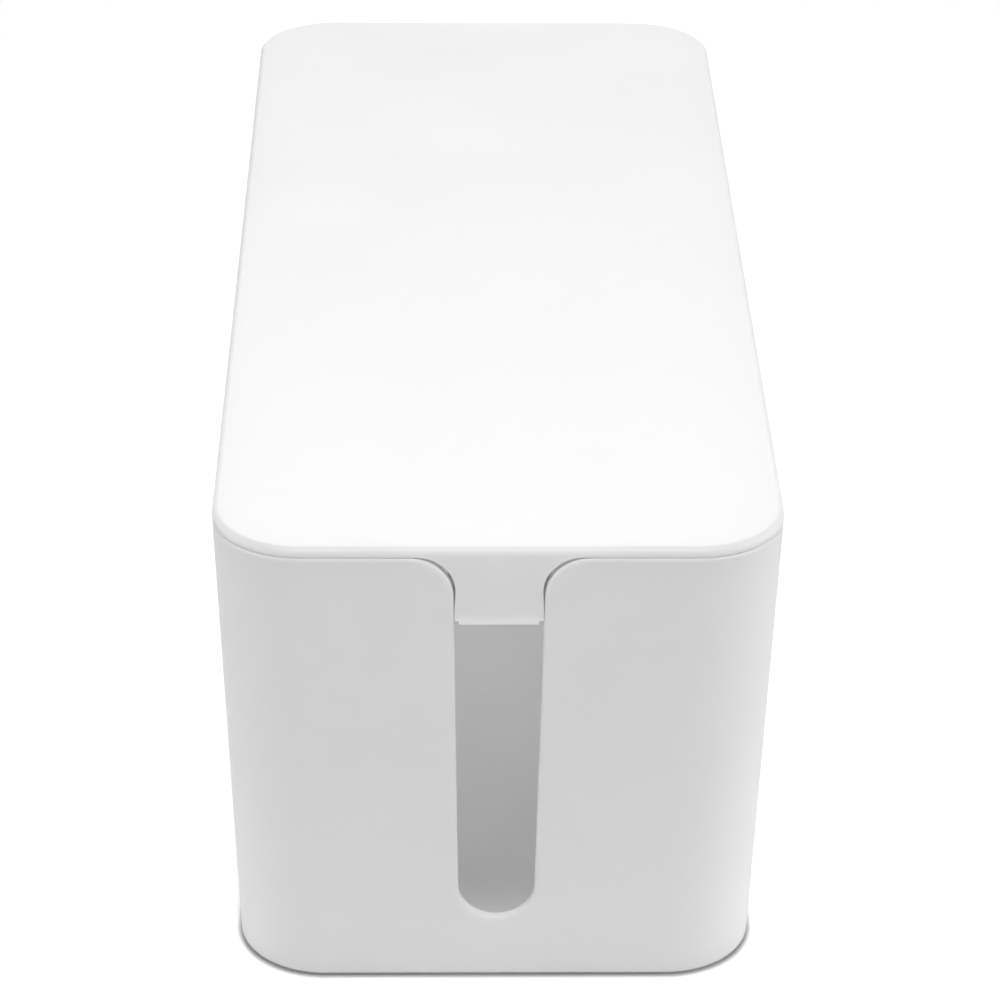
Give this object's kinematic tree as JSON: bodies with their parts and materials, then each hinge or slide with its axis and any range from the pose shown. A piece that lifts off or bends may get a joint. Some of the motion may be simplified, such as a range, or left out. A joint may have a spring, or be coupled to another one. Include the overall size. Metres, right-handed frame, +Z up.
{
  "type": "cable management box",
  "caption": "Rounded oblong box for a power strip and its surplus lead, with a cable slot in each end, a lift-off lid and rubber feet.",
  "frame": {"origin": "middle of the box's footprint, on the surface that its feet stand on", "axes": "+Z up and out of the lid, +Y along the box from the front end to the rear end, +X to the right as the front end is looked at"},
  "size_m": [0.156, 0.38, 0.1425],
  "materials": {
    "white_tub_plastic": "fine satin moulding",
    "white_lid_plastic": "fine satin moulding",
    "foot_rubber": "matte"
  },
  "bodies": {
    "tub": {"tub": "white_tub_plastic", "foot_front_left": "foot_rubber", "foot_front_right": "foot_rubber", "foot_rear_left": "foot_rubber", "foot_rear_right": "foot_rubber"},
    "lid": {"lid": "white_lid_plastic"}
  },
  "joints": [
    {"name": "lid_lift", "type": "slide", "parent": "tub", "child": "lid", "axis": [0, 0, 1], "range_m": [0, 0.03]}
  ]
}
